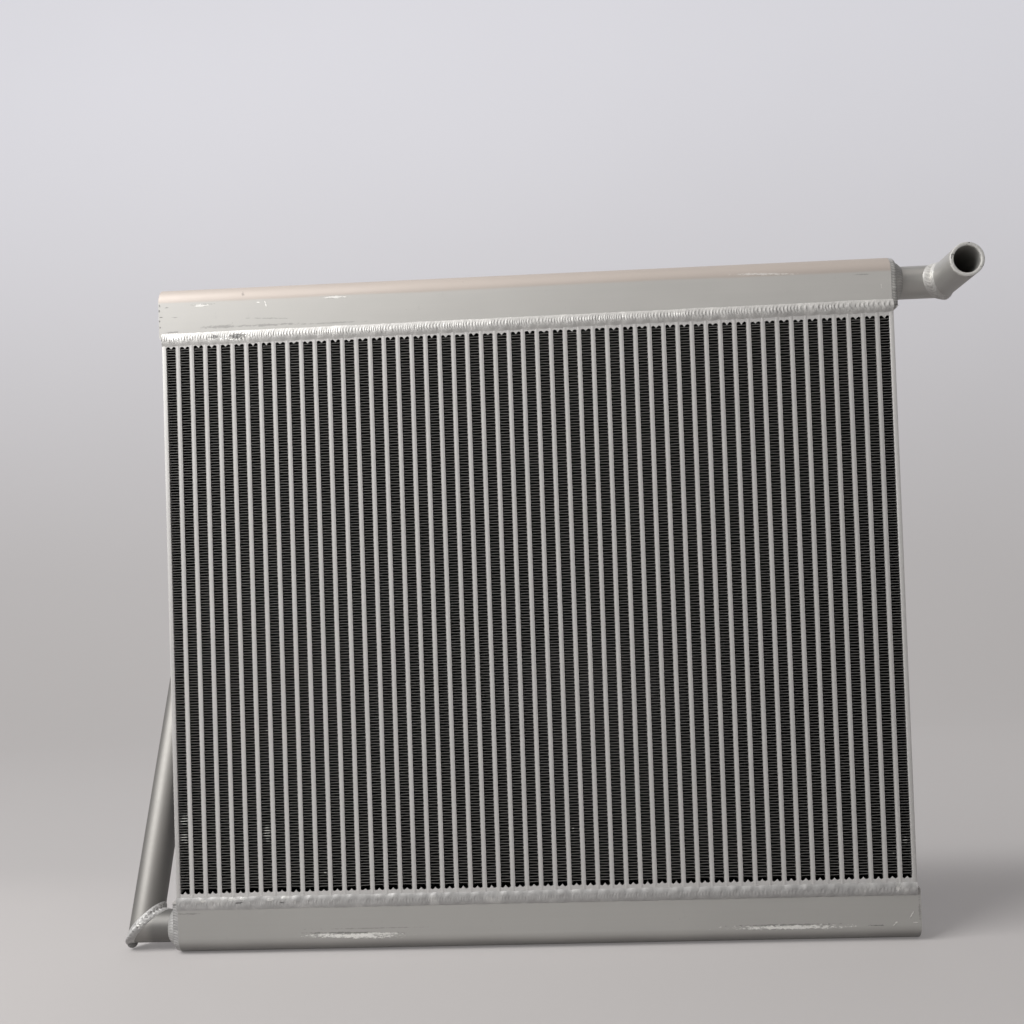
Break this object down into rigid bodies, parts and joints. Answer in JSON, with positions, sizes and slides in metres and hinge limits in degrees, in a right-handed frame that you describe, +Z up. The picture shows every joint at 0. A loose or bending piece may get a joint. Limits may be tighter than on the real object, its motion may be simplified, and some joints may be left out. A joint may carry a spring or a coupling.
{
  "type": "engine radiator",
  "caption": "Welded aluminium bar-and-plate engine radiator: folded-fin core between two rounded tanks, with a mitred hose pipe at opposite corners.",
  "frame": {"origin": "under the middle of the core, on the flat underside of the bottom tank", "axes": "+Z up through the core, +X along the tanks towards the outlet pipe, front face towards -Y"},
  "size_m": [0.8082, 0.1961, 0.626],
  "materials": {
    "tank_paint": "satin silver-grey paint",
    "pipe_paint": "satin silver-grey paint",
    "bar_metal": "satin silver-grey paint",
    "fin_metal": "matt dark grey",
    "turbulator_metal": "bare, brazed",
    "weld_metal": "rippled weld under thin paint"
  },
  "bodies": {
    "root": {"top_tank": "tank_paint", "bottom_tank": "tank_paint", "plain_end_caps": "tank_paint", "pipe_end_caps": "tank_paint", "left_side_plate": "tank_paint", "right_side_plate": "tank_paint", "pipe_stubs": "pipe_paint", "outlet_spout": "pipe_paint", "inlet_riser": "pipe_paint", "front_long_bars": "bar_metal", "rear_long_bars": "bar_metal", "top_end_bars": "bar_metal", "bottom_end_bars": "bar_metal", "parting_sheets": "bar_metal", "air_fins": "fin_metal", "turbulators": "turbulator_metal", "top_front_seam_weld": "weld_metal", "top_rear_seam_weld": "weld_metal", "bottom_front_seam_weld": "weld_metal", "bottom_rear_seam_weld": "weld_metal", "side_seam_welds": "weld_metal", "cap_welds": "weld_metal", "stub_welds": "weld_metal", "mitre_welds": "weld_metal"}
  },
  "joints": []
}
